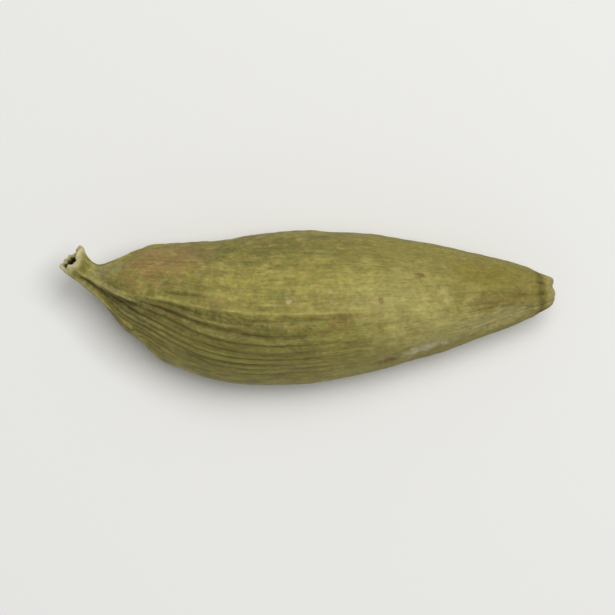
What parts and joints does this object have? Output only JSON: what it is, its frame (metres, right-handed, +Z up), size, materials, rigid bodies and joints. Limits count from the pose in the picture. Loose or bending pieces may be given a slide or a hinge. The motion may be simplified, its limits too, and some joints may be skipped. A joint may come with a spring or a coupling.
{
  "type": "green cardamom pod",
  "caption": "Whole dried green cardamom pod: a ribbed, three-sided, closed spice husk with a hollow stalk stub and a puckered tip, lying on its belly.",
  "frame": {"origin": "on the surface that the pod lies on, under the middle of the pod's box", "axes": "+X runs along the pod from its stalk stub to its puckered tip, +Y across it towards the smoother side, where the stub points, and +Z up, out of the uppermost ridge"},
  "size_m": [0.0218, 0.0068, 0.006],
  "materials": {
    "dried_green_husk": "matte"
  },
  "bodies": {
    "root": {"cardamom_pod": "dried_green_husk"}
  },
  "joints": []
}
